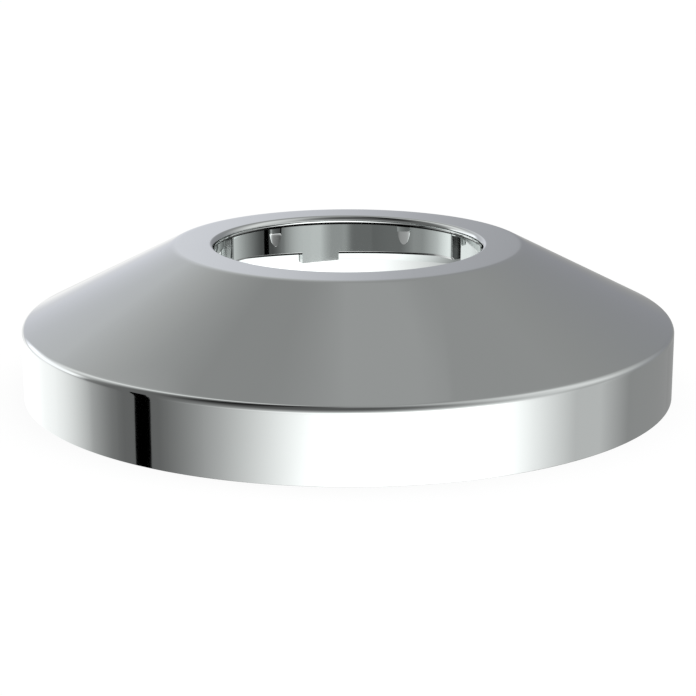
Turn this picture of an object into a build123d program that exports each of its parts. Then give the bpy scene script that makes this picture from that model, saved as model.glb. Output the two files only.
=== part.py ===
"""Pipe escutcheon, moulded in one piece and chrome-plated.

A straight rim stands against the wall, a shallow cone rises from it to a flat top, and a thin
lip closes round the pipe. Behind the lip hangs a short collar, split into fingers, whose ribs
steady the cover on the pipe.

Millimetres. +Z points out of the wall along the pipe. The origin is the centre of the rim's
lower face, which lies against the wall.
"""

import os
from math import atan2, cos, degrees, radians, sin, tan

from build123d import *

# Outer skin
rim_diameter = 54.0
rim_height = 5.8
overall_height = 12.2
top_diameter = 28.9
shoulder_round = 0.6
crown_round = 1.3

# Wall behind the skin
wall = 1.2

# Lip round the pipe: rounded above, and bevelled below its edge back to the collar
pipe_diameter = 22.0
pipe_clearance = 0.1
lip_edge_depth = 0.52
lip_round = 0.42
lip_bevel_depth = 0.24

# Collar behind the lip, drafted so that it thins downwards
collar_set_back = 0.18
collar_wall = 1.0
collar_depth = 3.45
collar_draft = 0.25
collar_edge_chamfer = 0.2

# Fingers of the collar, with the first one's middle at this angle from +X
finger_count = 3
finger_angle = 94.2
slot_width = 1.2
slot_root = 0.12

# Ribs on each finger: low pads under the lip, half an oval in outline, with a leaning face
ribs_per_finger = 2
rib_width = 1.2
rib_length = 1.6
rib_set_back = 0.1
rib_lean = 2.4

# Tab that hangs below each finger, with one side on the finger's middle
tab_width = 3.3
tab_depth = 0.5

# Radii and levels that follow from the sizes above
rim_radius = rim_diameter / 2
rim_inner_radius = rim_radius - wall
top_radius = top_diameter / 2
top_underside = overall_height - wall
lip_radius = pipe_diameter / 2 + pipe_clearance
lip_edge = overall_height - lip_edge_depth
lip_underside = lip_edge - lip_bevel_depth
collar_radius = lip_radius + collar_set_back
collar_outer_radius = collar_radius + collar_wall
collar_edge = overall_height - collar_depth
tab_edge = collar_edge - tab_depth

# Lean of the cone from the horizontal, and the corners of the wall's inner face
cone_lean = atan2(overall_height - rim_height, rim_radius - top_radius)
inner_shoulder = rim_height - wall * (1 - sin(cone_lean)) / cos(cone_lean)
inner_crown_radius = top_radius - wall * tan(cone_lean / 2)

# Band from the lip's edge to the back of the collar, which the cuts in the collar reach across
band_width = collar_outer_radius - lip_radius
band_radius = lip_radius + band_width / 2


def draft_over(drop):
    """Sideways run of a drafted collar face over a drop in height."""
    return drop * tan(radians(collar_draft))


# One rib on +X, from inside the lip down to its tip, and from its face back into the collar wall
rib_crest_radius = lip_radius + rib_set_back
rib_foot_radius = rib_crest_radius + rib_length * tan(radians(rib_lean))
rib_back_radius = collar_radius + collar_wall / 2
rib_root = lip_edge
rib_tip = lip_underside - rib_length
with BuildPart() as rib:
    with BuildSketch(Plane.YZ):
        with Locations((0, lip_underside)):
            Ellipse(rib_width / 2, rib_length)
    extrude(amount=rib_back_radius)
    with BuildSketch(Plane.XZ):
        with BuildLine():
            Polyline(
                (rib_crest_radius, rib_root),
                (rib_crest_radius, lip_underside),
                (rib_foot_radius, rib_tip),
                (rib_back_radius, rib_tip),
                (rib_back_radius, rib_root),
                close=True,
            )
        make_face()
    revolve(axis=Axis.Z, mode=Mode.INTERSECT)


with BuildPart() as escutcheon:
    # Half section of the whole moulding, with the collar still as deep as its tabs all round
    skirt_inner_radius = collar_radius + draft_over(lip_underside - tab_edge)
    skirt_outer_radius = collar_outer_radius - draft_over(top_underside - tab_edge)
    with BuildSketch(Plane.XZ) as section:
        with BuildLine():
            Polyline(
                (rim_radius, 0),
                (rim_radius, rim_height),
                (top_radius, overall_height),
                (lip_radius, overall_height),
                (lip_radius, lip_edge),
                (collar_radius, lip_underside),
                (skirt_inner_radius, tab_edge),
                (skirt_outer_radius, tab_edge),
                (collar_outer_radius, top_underside),
                (inner_crown_radius, top_underside),
                (rim_inner_radius, inner_shoulder),
                (rim_inner_radius, 0),
                close=True,
            )
        make_face()
        for radius, level, rounding in (
            (rim_radius, rim_height, shoulder_round),
            (top_radius, overall_height, crown_round),
            (lip_radius, overall_height, lip_round),
        ):
            fillet(section.vertices().sort_by_distance((radius, level))[0], rounding)
    revolve(axis=Axis.Z)

    # The collar is trimmed back between its tabs, and the trimmed inner edge is bevelled
    tab_angle = finger_angle + degrees(tab_width / 2 / collar_radius)
    with BuildSketch(Plane.XY.offset(tab_edge)):
        Circle(collar_outer_radius)
        Circle(lip_radius, mode=Mode.SUBTRACT)
        with PolarLocations(band_radius, finger_count, tab_angle):
            Rectangle(band_width, tab_width, mode=Mode.SUBTRACT)
    extrude(amount=tab_depth, mode=Mode.SUBTRACT)
    trimmed_arcs = (
        escutcheon.edges()
        .filter_by(GeomType.CIRCLE)
        .filter_by_position(Axis.Z, collar_edge, collar_edge)
        .sort_by(SortBy.RADIUS)
    )
    chamfer(trimmed_arcs[:finger_count], collar_edge_chamfer)

    # Slots split the collar into fingers, and end just under the lip
    with BuildSketch(Plane.XY.offset(tab_edge)):
        with PolarLocations(band_radius, finger_count, finger_angle + 180 / finger_count):
            Rectangle(band_width, slot_width)
    extrude(amount=lip_underside - slot_root - tab_edge, mode=Mode.SUBTRACT)

    # Ribs, spread evenly over the fingers
    rib_count = finger_count * ribs_per_finger
    with PolarLocations(0, rib_count, finger_angle + 180 / rib_count):
        add(rib.part)

os.makedirs("parts", exist_ok=True)
escutcheon.part.label = "escutcheon"
export_step(escutcheon.part, "parts/escutcheon.step")
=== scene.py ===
import bpy
import numpy as np
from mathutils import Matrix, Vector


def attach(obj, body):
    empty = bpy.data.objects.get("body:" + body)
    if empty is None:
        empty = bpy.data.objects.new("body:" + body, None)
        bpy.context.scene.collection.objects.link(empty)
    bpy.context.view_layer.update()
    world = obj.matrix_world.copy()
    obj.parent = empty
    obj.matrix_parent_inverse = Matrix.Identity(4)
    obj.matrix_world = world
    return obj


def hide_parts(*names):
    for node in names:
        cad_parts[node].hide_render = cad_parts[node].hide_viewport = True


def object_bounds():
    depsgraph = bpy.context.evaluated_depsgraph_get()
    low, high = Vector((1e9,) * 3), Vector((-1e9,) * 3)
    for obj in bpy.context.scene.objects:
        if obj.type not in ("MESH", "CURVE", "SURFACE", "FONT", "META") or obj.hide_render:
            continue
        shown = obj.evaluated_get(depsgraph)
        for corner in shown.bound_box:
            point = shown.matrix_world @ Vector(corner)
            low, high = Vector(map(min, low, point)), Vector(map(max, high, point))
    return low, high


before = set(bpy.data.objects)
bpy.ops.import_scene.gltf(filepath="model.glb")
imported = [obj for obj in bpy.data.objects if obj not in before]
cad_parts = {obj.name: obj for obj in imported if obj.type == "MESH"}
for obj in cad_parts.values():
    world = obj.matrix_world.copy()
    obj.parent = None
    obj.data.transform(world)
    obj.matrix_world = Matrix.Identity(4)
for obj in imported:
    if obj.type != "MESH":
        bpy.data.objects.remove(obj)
cad_low, cad_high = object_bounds()

# The cover itself. The real one is a single moulding in ABS: a straight rim that stands against the
# wall, a shallow cone, a flat top with a thin lip round the pipe, and behind the lip a short collar
# split into three fingers with two leaning ribs and one tab each. It is turned here as one surface.
mm = 0.001

rim_radius = cad_high.x
overall_height = cad_high.z
rim_height = 5.8 * mm
top_radius = 14.45 * mm
wall = 1.2 * mm
edge_round = 0.1 * mm
foot_round = 0.03 * mm
shoulder_round = 0.6 * mm
crown_round = 1.3 * mm

lip_radius = 11.1 * mm
lip_turns = np.array([90.0, 45.0, 25.0, -15.0])
lip_rounds = np.array([0.32, 0.6, 0.4]) * mm
lip_underside = overall_height - 0.76 * mm

collar_radius = lip_radius + 0.18 * mm
collar_outer_radius = collar_radius + 1.0 * mm
collar_edge = overall_height - 3.45 * mm
collar_slope = -np.tan(np.radians(0.15))
collar_thinning = np.tan(np.radians(0.25))
collar_edge_bevel = 0.2 * mm

finger_count = 3
finger_angle = 94.2
finger_bow_radius = 103 * mm
finger_rise = 0.4 * mm
slot_half_width = 0.6 * mm
slot_top = lip_underside - 0.12 * mm
slot_edge_round = 0.12 * mm
tab_half_width = 1.65 * mm
tab_edge = collar_edge - 0.65 * mm
tab_slope = 0.05
tab_edge_bevel = 0.03 * mm
rib_half_width = 0.6 * mm
rib_length = 1.6 * mm
rib_crest_radius = lip_radius + 0.045 * mm
rib_ledge = 0.04 * mm
rib_slope = np.tan(np.radians(2.4))
rib_foot_slope = np.tan(np.radians(4.9))
rib_bend = 0.45 * mm
rib_bend_softness = 0.02 * mm
rib_bow_radius = 18 * mm
rib_side_fall = 0.012 * mm
rib_bevel = 0.02 * mm
hairline = 0.01 * mm
crease_angle = 28


def angles_from(lateral):
    """Degrees round the collar's inner face that go with a distance along it."""
    return np.degrees(lateral / collar_radius)


def nearest(turn, first, count):
    """Distance along the collar's inner face from each angle to the nearest of count even places."""
    pitch = 360 / count
    offset = (turn - first + pitch / 2) % pitch - pitch / 2
    return np.radians(offset) * collar_radius


def cover_columns():
    """Angles of the section's copies: even degrees, with finer steps across each rib, slot and tab."""
    slot_first = finger_angle + 180 / finger_count
    rib_first = finger_angle + 90 / finger_count
    tab_first = finger_angle + angles_from(tab_half_width)
    across_rib = rib_half_width * np.sin(np.radians(np.linspace(-90, 90, 31)))
    beside_rib = (rib_half_width + hairline) * np.array([-1.5, -1.2, -1, 1, 1.2, 1.5])
    rounding = slot_edge_round * (1 - np.cos(np.radians(np.linspace(0, 90, 7))))
    in_half_slot = [0.3 * slot_half_width, slot_half_width - hairline]
    half_slot = np.concatenate([in_half_slot, slot_half_width + rounding])
    half_tab = tab_half_width + hairline * np.array([-4, -1, 0, 3])
    sets = (
        (rib_first, 2 * finger_count, np.concatenate([across_rib, beside_rib])),
        (slot_first, finger_count, np.concatenate([-half_slot, half_slot])),
        (tab_first, finger_count, np.concatenate([-half_tab, half_tab])),
    )
    even = np.arange(0.0, 360.0, 1.0)
    turns = []
    for first, count, lateral in sets:
        places = first + 360 / count * np.arange(count)
        special = (places[:, None] + angles_from(lateral)).ravel() % 360
        gap = np.abs((even[:, None] - special + 180) % 360 - 180).min(axis=1)
        even = even[gap > 0.4]
        turns.append(special)
    turn = np.sort(np.concatenate([even, *turns]))
    from_rib = nearest(turn, rib_first, 2 * finger_count)
    from_slot = nearest(turn, slot_first, finger_count)
    from_tab = nearest(turn, tab_first, finger_count)
    from_finger = nearest(turn, finger_angle, finger_count)
    return turn, from_rib, np.abs(from_slot), from_tab, from_finger


def rounded_loop(corners, rounds, steps):
    """Closed section with rounded corners, for every column at once.

    corners is columns x corners x (radius, height). At each corner the arc is tangent to both runs,
    its points swing evenly from one tangent point to the other, and one more point stands on each
    run a quarter of the rounding away. A corner with no steps stays sharp.
    """
    ahead = np.roll(corners, -1, axis=1) - corners
    behind = np.roll(corners, 1, axis=1) - corners
    ahead /= np.linalg.norm(ahead, axis=2, keepdims=True)
    behind /= np.linalg.norm(behind, axis=2, keepdims=True)
    opening = np.arccos(np.clip((ahead * behind).sum(axis=2), -1, 1))
    points = []
    for corner, count in enumerate(steps):
        place = corners[:, corner, None]
        if count == 0:
            points.append(place)
            continue
        half = opening[:, corner, None, None] / 2
        radius = rounds[:, corner, None, None]
        into = behind[:, corner, None]
        out = ahead[:, corner, None]
        reach = radius / np.tan(half)
        bisector = into + out
        bisector /= np.linalg.norm(bisector, axis=2, keepdims=True)
        centre = place + bisector * radius / np.sin(half)
        sweep = np.pi - 2 * half
        share = np.linspace(0, 1, count + 1)[None, :, None]
        first = place + into * reach - centre
        last = place + out * reach - centre
        swing = np.sin((1 - share) * sweep) * first + np.sin(share * sweep) * last
        margin = reach + radius / 4
        points += [place + into * margin, centre + swing / np.sin(sweep), place + out * margin]
    return np.concatenate(points, axis=1)


def lip_nose():
    """Radii and heights down the lip's nose: arcs that follow one another without a kink.

    The skin turns from flat through upright to a little past it. Over each small turn it goes inwards
    by the arc's radius times the change of the cosine, and down by that times the change of the sine.
    """
    steps = 12
    turn = np.interp(np.arange(3 * steps + 1) / steps, np.arange(4), np.radians(lip_turns))
    arc = np.repeat(lip_rounds, steps)
    inwards = np.concatenate([[0], np.cumsum(arc * np.diff(np.cos(turn)))])
    down = np.concatenate([[0], np.cumsum(-arc * np.diff(np.sin(turn)))])
    return lip_radius + inwards.max() - inwards, overall_height - down


def cover_surface():
    """Turned cover: its section at every column, carried round the pipe's axis.

    The collar's inner face steps back at the slots' rounded edges and comes forward at the ribs. A
    rib's outline is half an oval: at lateral distance t it reaches down by its length times the root
    of (1 less t over half its width, squared). Its face starts under the lip and leans back on the
    way down, by more below a soft bend than above it. It is bowed: it falls back by t squared over
    twice the bow, and faster close to its sides. A small bevel joins it to the collar. The collar
    ends at the slot's top, at the tab's sloping edge, or at the finger's own edge, which rises
    towards the slots. The lip's nose is lip_nose, and a bevel goes on from there to the collar.
    """
    turn, from_rib, from_slot, from_tab, from_finger = cover_columns()
    in_slot = from_slot < slot_half_width - hairline / 2
    in_tab = np.abs(from_tab) < tab_half_width - hairline / 2
    on_rib = np.abs(from_rib) < rib_half_width + hairline / 2

    rise = np.minimum(from_finger**2 / (2 * finger_bow_radius), finger_rise)
    below_finger = np.where(in_tab, tab_edge - tab_slope * from_tab, collar_edge + rise)
    edge = np.where(in_slot, slot_top, below_finger)
    past_edge = np.clip(slot_edge_round - (from_slot - slot_half_width), 0, slot_edge_round)
    set_back = slot_edge_round - np.sqrt(slot_edge_round**2 - past_edge**2)
    inner = collar_radius + np.where(in_slot, 0, set_back)

    outline = rib_length * np.sqrt(np.clip(1 - (from_rib / rib_half_width) ** 2, 0, 1))
    beside = np.clip(np.abs(from_rib) - rib_half_width, 0, rib_length / 2)
    drop = np.where(in_slot, 2 * hairline, 2 * hairline + np.where(on_rib, outline, beside))
    bevel = np.where(in_slot, 2 * hairline, rib_bevel)
    above = np.maximum(drop - bevel, drop / 4)
    crest = rib_crest_radius + from_rib**2 / 2 * (1 / rib_bow_radius + 1 / collar_radius)
    crest = crest + rib_side_fall * (from_rib / rib_half_width) ** 6
    # Rows down a rib's face, two of them close to its bend. Towards its sides they follow its outline.
    levels = (0.25 * mm, rib_bend - 2 * hairline, rib_bend + 3 * hairline, 0.8 * mm)
    shares = (0.2, 0.4, 0.5, 0.7)
    rows = [np.minimum(share * above, fall) for share, fall in zip(shares, levels)]
    falls = [0 * above, *rows, above, drop]
    past_bend = [fall - rib_bend for fall in falls]
    below_bend = [(past + np.hypot(past, rib_bend_softness)) / 2 for past in past_bend]
    extra_slope = rib_foot_slope - rib_slope
    face = [
        np.where(
            on_rib,
            crest + rib_slope * fall + extra_slope * (below - below_bend[0]),
            inner + collar_slope * fall,
        )
        for fall, below in zip(falls, below_bend)
    ]
    wall_falls = (drop + bevel, drop + 2 * bevel)

    lean_of_cone = np.arctan2(overall_height - rim_height, rim_radius - top_radius)
    top_underside = overall_height - wall
    inner_crown = top_radius - wall * np.tan(lean_of_cone / 2)
    inner_shoulder = rim_height - wall * (1 - np.sin(lean_of_cone)) / np.cos(lean_of_cone)
    fine = np.where(in_slot, hairline, 1)
    edge_bevel = np.where(in_slot, 2 * hairline, np.where(in_tab, tab_edge_bevel, collar_edge_bevel))
    bevel_round = np.where(in_tab, 2 * hairline, 4 * hairline) * fine
    inner_edge = inner + collar_slope * (lip_underside - edge)
    nose_radius, nose_height = lip_nose()
    outer_edge = collar_outer_radius - np.where(in_slot, 0, collar_thinning * (top_underside - edge))
    # Corners of the section: radius, height, rounding and how many steps the rounding has
    section = (
        (rim_radius, 0, foot_round, 5),
        (rim_radius, rim_height, shoulder_round, 12),
        (top_radius, overall_height, crown_round, 8),
        (nose_radius[0] + edge_round, overall_height, 0, 0),
        *[(radius, height, 0, 0) for radius, height in zip(nose_radius, nose_height)],
        (inner, lip_underside + rib_ledge, 0, 0),
        *[(radius, lip_underside - fall, 0, 0) for radius, fall in zip(face, falls)],
        (inner + collar_slope * wall_falls[0], lip_underside - wall_falls[0], 0, 0),
        (inner + collar_slope * wall_falls[1], lip_underside - wall_falls[1], 0, 0),
        (inner_edge, edge + edge_bevel, bevel_round, 4),
        (inner_edge + edge_bevel, edge, bevel_round, 4),
        (outer_edge, edge, edge_round * fine, 7),
        (collar_outer_radius, top_underside, 0, 0),
        (inner_crown, top_underside, 0, 0),
        (rim_radius - wall, inner_shoulder, 0, 0),
        (rim_radius - wall, 0, edge_round, 7),
    )
    level = np.ones_like(turn)
    places = [np.stack([radius * level, height * level], axis=1) for radius, height, _, _ in section]
    rounds = np.stack([rounding * level for _, _, rounding, _ in section], axis=1)
    loop = rounded_loop(np.stack(places, axis=1), rounds, [steps for _, _, _, steps in section])
    angle = np.radians(turn)[:, None]
    return np.stack([loop[..., 0] * np.cos(angle), loop[..., 0] * np.sin(angle), loop[..., 1]], axis=2)


def grid_piece(name, points):
    """Mesh object of a grid that closes on itself both ways, with one quad between neighbours."""
    columns, rows = points.shape[:2]
    index = np.arange(columns * rows).reshape(columns, rows)
    across = np.roll(index, -1, axis=0)
    quads = np.stack([index, across, np.roll(across, -1, axis=1), np.roll(index, -1, axis=1)], axis=2)
    mesh = bpy.data.meshes.new(name)
    mesh.from_pydata(points.reshape(-1, 3), [], quads.reshape(-1, 4))
    mesh.shade_smooth()
    mesh.set_sharp_from_angle(angle=np.radians(crease_angle))
    piece = bpy.data.objects.new(name, mesh)
    bpy.context.scene.collection.objects.link(piece)
    return piece


cover = grid_piece("cover", cover_surface())
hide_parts("escutcheon")
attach(cover, "root")

# The plating over the whole moulding: bright chromium on nickel, a cool grey mirror. Electroplating
# leaves a very faint ripple and wiping leaves patches that are a little less sharp than the rest.
# Behind the collar and in the corner under the lip the colour is painted near black and duller:
# painted shade for the shaded recess and for the dark line under the lip.
chromium = (0.536, 0.556, 0.549, 1)
film = (0.524, 0.546, 0.542, 1)
# Near-black colour painted as shade behind the collar and in the corner under the lip
painted_shade_colour = (0.02, 0.021, 0.021, 1)
patch_scale = 90
sharpest_roughness = 0.03
dullest_roughness = 0.06
painted_shade_roughness = 0.25
ripple_scale = 320
ripple_strength = 0.4
ripple_depth = 0.01 * mm

# Where the painted shade goes: each pair gives where it starts and where it is at its darkest
shade_depth = (0.5 * mm, 0.9 * mm)
shade_inner_radius = (11.8 * mm, 12.2 * mm)
shade_outer_radius = (20 * mm, 16 * mm)
corner_height = lip_underside + 0.06 * mm
corner_reach = (0.09 * mm, 0.06 * mm)
corner_radius = (11.6 * mm, 11.5 * mm)


def math(tree, operation, *values):
    """One math node on numbers or other nodes' values."""
    node = tree.nodes.new("ShaderNodeMath")
    node.operation = operation
    for socket, value in zip(node.inputs, values):
        if isinstance(value, (int, float)):
            socket.default_value = value
        else:
            tree.links.new(value, socket)
    return node.outputs[0]


def ramp(tree, value, start, end, first=0, last=1):
    """Goes evenly from the first number at the start to the last one at the end."""
    node = tree.nodes.new("ShaderNodeMapRange")
    node.inputs["From Min"].default_value = start
    node.inputs["From Max"].default_value = end
    node.inputs["To Min"].default_value = first
    node.inputs["To Max"].default_value = last
    tree.links.new(value, node.inputs["Value"])
    return node.outputs["Result"]


def painted_shade_places(tree, place):
    """Mask of the painted shade, from the radius and the height of each place.

    One share is where the depth below the outer skin (the lower of the cone's line and the flat top)
    is most of the wall's or more, and the radius lies behind the collar. The other is the corner
    under the lip, known by its height.
    """
    split = tree.nodes.new("ShaderNodeSeparateXYZ")
    tree.links.new(place, split.inputs["Vector"])
    height = split.outputs["Z"]
    across = math(tree, "MULTIPLY", split.outputs["X"], split.outputs["X"])
    along = math(tree, "MULTIPLY", split.outputs["Y"], split.outputs["Y"])
    radius = math(tree, "SQRT", math(tree, "ADD", across, along))
    cone_slope = (overall_height - rim_height) / (rim_radius - top_radius)
    cone_line = math(tree, "MULTIPLY_ADD", radius, -cone_slope, rim_height + cone_slope * rim_radius)
    skin = math(tree, "MINIMUM", cone_line, overall_height)
    under = ramp(tree, math(tree, "SUBTRACT", skin, height), *shade_depth)
    inside = ramp(tree, radius, *shade_inner_radius)
    outside = ramp(tree, radius, *shade_outer_radius)
    recess = math(tree, "MULTIPLY", under, math(tree, "MULTIPLY", inside, outside))
    from_corner = math(tree, "ABSOLUTE", math(tree, "SUBTRACT", height, corner_height))
    near_corner = ramp(tree, from_corner, *corner_reach)
    corner = math(tree, "MULTIPLY", near_corner, ramp(tree, radius, *corner_radius))
    return math(tree, "MAXIMUM", recess, corner)


def chrome_plating():
    """Mirror metal with soft patches, a little greyer and less sharp, and with a faint ripple.

    Where that mask is on, the colour is painted near black and duller than the metal: painted shade.
    """
    material = bpy.data.materials.new("chrome_plating")
    material.use_nodes = True
    tree = material.node_tree
    shader = tree.nodes["Principled BSDF"]
    shader.inputs["Metallic"].default_value = 1
    place = tree.nodes.new("ShaderNodeTexCoord").outputs["Object"]
    # Painted shade: mask of the shaded recess behind the collar and of the corner under the lip
    painted_shade = painted_shade_places(tree, place)

    patches = tree.nodes.new("ShaderNodeTexNoise")
    patches.inputs["Scale"].default_value = patch_scale
    patches.inputs["Detail"].default_value = 4
    tree.links.new(place, patches.inputs["Vector"])
    wiped = ramp(tree, patches.outputs["Fac"], 0.35, 0.75, sharpest_roughness, dullest_roughness)
    roughness = math(tree, "MULTIPLY_ADD", painted_shade, painted_shade_roughness, wiped)
    tree.links.new(roughness, shader.inputs["Roughness"])

    colour = tree.nodes.new("ShaderNodeMix")
    colour.data_type = "RGBA"
    colour.inputs["A"].default_value = chromium
    colour.inputs["B"].default_value = film
    tree.links.new(patches.outputs["Fac"], colour.inputs["Factor"])
    # Painted shade: the colour is mixed towards near black where that mask is on
    painted_dark = tree.nodes.new("ShaderNodeMix")
    painted_dark.data_type = "RGBA"
    painted_dark.inputs["B"].default_value = painted_shade_colour
    tree.links.new(painted_shade, painted_dark.inputs["Factor"])
    tree.links.new(colour.outputs["Result"], painted_dark.inputs["A"])
    tree.links.new(painted_dark.outputs["Result"], shader.inputs["Base Color"])

    ripple = tree.nodes.new("ShaderNodeTexNoise")
    ripple.inputs["Scale"].default_value = ripple_scale
    ripple.inputs["Detail"].default_value = 1
    tree.links.new(place, ripple.inputs["Vector"])
    bump = tree.nodes.new("ShaderNodeBump")
    bump.inputs["Strength"].default_value = ripple_strength
    bump.inputs["Distance"].default_value = ripple_depth
    tree.links.new(ripple.outputs["Fac"], bump.inputs["Height"])
    tree.links.new(bump.outputs["Normal"], shader.inputs["Normal"])
    return material


cover.data.materials.append(chrome_plating())

# The studio: a pale floor, one broad soft lamp overhead and a room of soft cards that the chrome
# mirrors. The floor and the room are white to the camera, and the floor keeps a faint shadow.
floor_half = 3.0
floor_white_share = 0.9
floor_paper = (0.9, 0.9, 0.9, 1)
lamp_strength = 2.2
lamp_angle = 80
plain_light = (1, 1, 1, 1)
cool_light = (0.985, 1, 1.085, 1)
cool_at_horizon = 0.5
cool_per_degree = 0.1


def studio_floor():
    """Square sheet just under the rim, white to the camera, with a share of plain lit paper in it."""
    corners = np.array([(-1, -1), (1, -1), (1, 1), (-1, 1)]) * floor_half
    mesh = bpy.data.meshes.new("floor")
    mesh.from_pydata([(x, y, -hairline) for x, y in corners], [], [(0, 1, 2, 3)])
    floor = bpy.data.objects.new("floor", mesh)
    bpy.context.scene.collection.objects.link(floor)
    floor.visible_glossy = False
    material = bpy.data.materials.new("floor_paper")
    material.use_nodes = True
    tree = material.node_tree
    tree.nodes.clear()
    out = tree.nodes.new("ShaderNodeOutputMaterial")
    mix = tree.nodes.new("ShaderNodeMixShader")
    paper = tree.nodes.new("ShaderNodeBsdfDiffuse")
    white = tree.nodes.new("ShaderNodeEmission")
    light = tree.nodes.new("ShaderNodeLightPath")
    share = tree.nodes.new("ShaderNodeMath")
    share.operation = "MULTIPLY"
    share.inputs[1].default_value = floor_white_share
    paper.inputs["Color"].default_value = floor_paper
    tree.links.new(light.outputs["Is Camera Ray"], share.inputs[0])
    tree.links.new(share.outputs[0], mix.inputs["Fac"])
    tree.links.new(paper.outputs[0], mix.inputs[1])
    tree.links.new(white.outputs[0], mix.inputs[2])
    tree.links.new(mix.outputs[0], out.inputs["Surface"])
    mesh.materials.append(material)


def card_group():
    """Node group: lays one soft card over the tone below it.

    The card covers a range of bearings and a range of heights, both in degrees. Each of its four
    edges fades evenly between two angles, and inside them the tone is the card's own.
    """
    group = bpy.data.node_groups.new("studio_card", "ShaderNodeTree")
    names = ("Below", "Bearing", "Height", "Tone", "Left 0", "Left 1", "Right 1", "Right 0",
             "Low 0", "Low 1", "High 1", "High 0")
    for name in names:
        group.interface.new_socket(name, in_out="INPUT", socket_type="NodeSocketFloat")
    group.interface.new_socket("Result", in_out="OUTPUT", socket_type="NodeSocketFloat")
    inside = group.nodes.new("NodeGroupInput")
    outside = group.nodes.new("NodeGroupOutput")
    cover_by = None
    for value, start, end in (("Bearing", "Left 0", "Left 1"), ("Bearing", "Right 0", "Right 1"),
                              ("Height", "Low 0", "Low 1"), ("Height", "High 0", "High 1")):
        fade = group.nodes.new("ShaderNodeMapRange")
        group.links.new(inside.outputs[value], fade.inputs["Value"])
        group.links.new(inside.outputs[start], fade.inputs["From Min"])
        group.links.new(inside.outputs[end], fade.inputs["From Max"])
        if cover_by is None:
            cover_by = fade.outputs["Result"]
            continue
        both = group.nodes.new("ShaderNodeMath")
        both.operation = "MULTIPLY"
        group.links.new(cover_by, both.inputs[0])
        group.links.new(fade.outputs["Result"], both.inputs[1])
        cover_by = both.outputs[0]
    lay = group.nodes.new("ShaderNodeMix")
    lay.data_type = "FLOAT"
    group.links.new(cover_by, lay.inputs["Factor"])
    group.links.new(inside.outputs["Below"], lay.inputs["A"])
    group.links.new(inside.outputs["Tone"], lay.inputs["B"])
    group.links.new(lay.outputs["Result"], outside.inputs["Result"])
    return group


# Cards from the back of the pile to the front. A bearing is 0 towards the camera and grows to the
# right, up to the seam behind the cover; a tone is how bright the card looks in the chrome, where 1
# is white on the display.
display_power = 2.2
seam_turn = 30
room_tone = 0.48
cards = {
    "back_high": (0.546, -220, -215, 155, 160, 3, 47, 95, 100),
    "back_top_glow": (0.58, -216, -204, -179, -156, 56, 64, 72, 90),
    "back_left_high": (0.52, -179, -158, -142, -128, 36, 47, 65, 75),
    "back_left_wall": (0.68, -190, -174, -126, -97, -100, -95, 28, 57),
    "back_glow": (0.735, -182, -174, -174, -156, -9, 2, 18, 35),
    "right_wall": (0.83, -10, 95, 102, 143, -20, 25, 51, 91),
    "right_foot": (0.52, 60, 100, 118, 165, -100, -95, -5, 14),
    "front_wall": (0.38, -100, -88, -40, 72, -100, -95, 54, 88),
    "ceiling_flag": (0.09, -80, -62, -43, -4, 26, 57, 70, 94),
    "front_flag": (0.32, -60, -20, 11, 59, 29, 46, 61, 84),
    "left_screen": (0.85, -144, -126, -123, -98, -100, -95, 74, 94),
    "left_screen_foot": (0.96, -194, -146, -136, -82, -100, -95, -10, 1),
    "right_screen": (0.70, 30, 58, 96, 113, -100, -95, -9, 20),
    "left_screen_edge": (0.99, -150, -142, -106, -98, -2, 2, 14, 24),
    "window": (1.24, -67, 2, 43, 84, -100, -95, -20, 26),
    "window_foot": (1.28, -48, -18, 60, 80, -58, -50, -34, -28),
    "window_crown": (1.24, -65, 113, 42, 62, -14.6, -13.6, -9, -4),
    "back_low": (0.52, -220, -215, -189, -174, -14, -13, -9, -6),
    "back_low_left": (0.73, -184, -172, -160, -146, -14, -13, -9, -6),
    "right_low": (0.35, 48, 71.5, 150, 155, -22.5, -21.3, -19.3, -18.7),
    "flag": (0.0, -77.2, -77, -70.6, -70.2, -100, -95, 2, 6),
    "below": (0.10, -220, -215, 155, 160, -100, -95, -62, -40),
}


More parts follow.
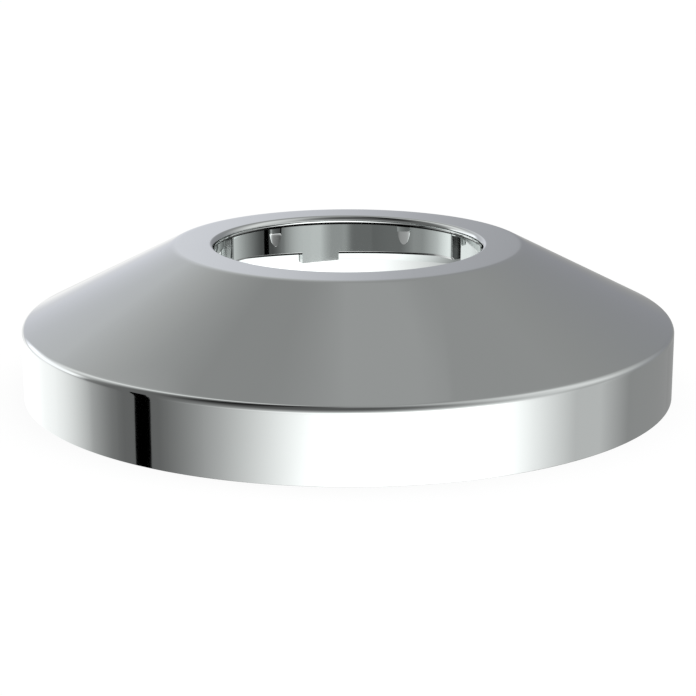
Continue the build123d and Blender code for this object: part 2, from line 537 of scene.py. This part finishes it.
def studio_world():
    """World that is white to the camera; every other ray finds the room of cards by its direction.

    A tone becomes light by the display's power over the chrome's own share. The light is a little
    cooler behind the cover, by how far a direction goes back less how far it goes up.
    """
    world = bpy.data.worlds.new("studio")
    bpy.context.scene.world = world
    world.use_nodes = True
    tree = world.node_tree
    tree.nodes.clear()

    ray = tree.nodes.new("ShaderNodeTexCoord")
    turned = tree.nodes.new("ShaderNodeVectorRotate")
    turned.rotation_type = "Z_AXIS"
    turned.inputs["Angle"].default_value = np.radians(seam_turn)
    split = tree.nodes.new("ShaderNodeSeparateXYZ")
    tree.links.new(ray.outputs["Generated"], turned.inputs["Vector"])
    tree.links.new(turned.outputs["Vector"], split.inputs["Vector"])
    behind = math(tree, "MULTIPLY", split.outputs["Y"], -1.0)
    from_seam = math(tree, "DEGREES", math(tree, "ARCTAN2", split.outputs["X"], behind))
    bearing = math(tree, "SUBTRACT", from_seam, seam_turn)
    height = math(tree, "DEGREES", math(tree, "ARCSINE", split.outputs["Z"]))

    group = card_group()
    tone = None
    for name, values in cards.items():
        card = tree.nodes.new("ShaderNodeGroup")
        card.node_tree = group
        card.name = name
        if tone is None:
            card.inputs["Below"].default_value = room_tone
        else:
            tree.links.new(tone, card.inputs["Below"])
        tree.links.new(bearing, card.inputs["Bearing"])
        tree.links.new(height, card.inputs["Height"])
        for socket, value in zip(card.inputs[3:], values):
            socket.default_value = value
        tone = card.outputs["Result"]

    glow = math(tree, "DIVIDE", math(tree, "POWER", tone, display_power), chromium[1])
    light = tree.nodes.new("ShaderNodeLightPath")
    room = tree.nodes.new("ShaderNodeBackground")
    white = tree.nodes.new("ShaderNodeBackground")
    mix = tree.nodes.new("ShaderNodeMixShader")
    out = tree.nodes.new("ShaderNodeOutputWorld")
    tint = tree.nodes.new("ShaderNodeMix")
    tint.data_type = "RGBA"
    tint.inputs["A"].default_value = plain_light
    tint.inputs["B"].default_value = cool_light
    away = tree.nodes.new("ShaderNodeSeparateXYZ")
    tree.links.new(ray.outputs["Generated"], away.inputs["Vector"])
    cool = math(tree, "MAXIMUM", math(tree, "SUBTRACT", away.outputs["Y"], away.outputs["Z"]), 0)
    rising = math(tree, "MULTIPLY_ADD", height, cool_per_degree, cool_at_horizon)
    above_ground = math(tree, "MINIMUM", rising, 1)
    tree.links.new(math(tree, "MULTIPLY", cool, above_ground), tint.inputs["Factor"])
    tree.links.new(tint.outputs["Result"], room.inputs["Color"])
    white.inputs["Color"].default_value = plain_light
    tree.links.new(glow, room.inputs["Strength"])
    tree.links.new(light.outputs["Is Camera Ray"], mix.inputs["Fac"])
    tree.links.new(room.outputs[0], mix.inputs[1])
    tree.links.new(white.outputs[0], mix.inputs[2])
    tree.links.new(mix.outputs[0], out.inputs["Surface"])


def studio_lamp():
    """Broad soft lamp straight overhead, which lights the floor and stays out of the mirror."""
    data = bpy.data.lights.new("lamp", "SUN")
    data.energy = lamp_strength
    data.angle = np.radians(lamp_angle)
    lamp = bpy.data.objects.new("lamp", data)
    bpy.context.scene.collection.objects.link(lamp)
    lamp.visible_glossy = False


studio_floor()
studio_world()
studio_lamp()

# The camera stands where the picture was taken from: a little above the rim, on the side opposite
# the collar's first finger, with a long lens.
camera_place = (0, -161.3 * mm, 46 * mm)
camera_tilt = 14.896
camera_lens = 102.67
camera_sensor = 36
camera_nearest = 10 * mm
camera_data = bpy.data.cameras.new("camera")
camera_data.lens = camera_lens
camera_data.sensor_width = camera_sensor
camera_data.clip_start = camera_nearest
camera = bpy.data.objects.new("camera", camera_data)
camera.location = camera_place
camera.rotation_euler = (np.radians(90 - camera_tilt), 0, 0)
bpy.context.scene.collection.objects.link(camera)
bpy.context.scene.camera = camera
bpy.context.scene.view_settings.view_transform = "Standard"
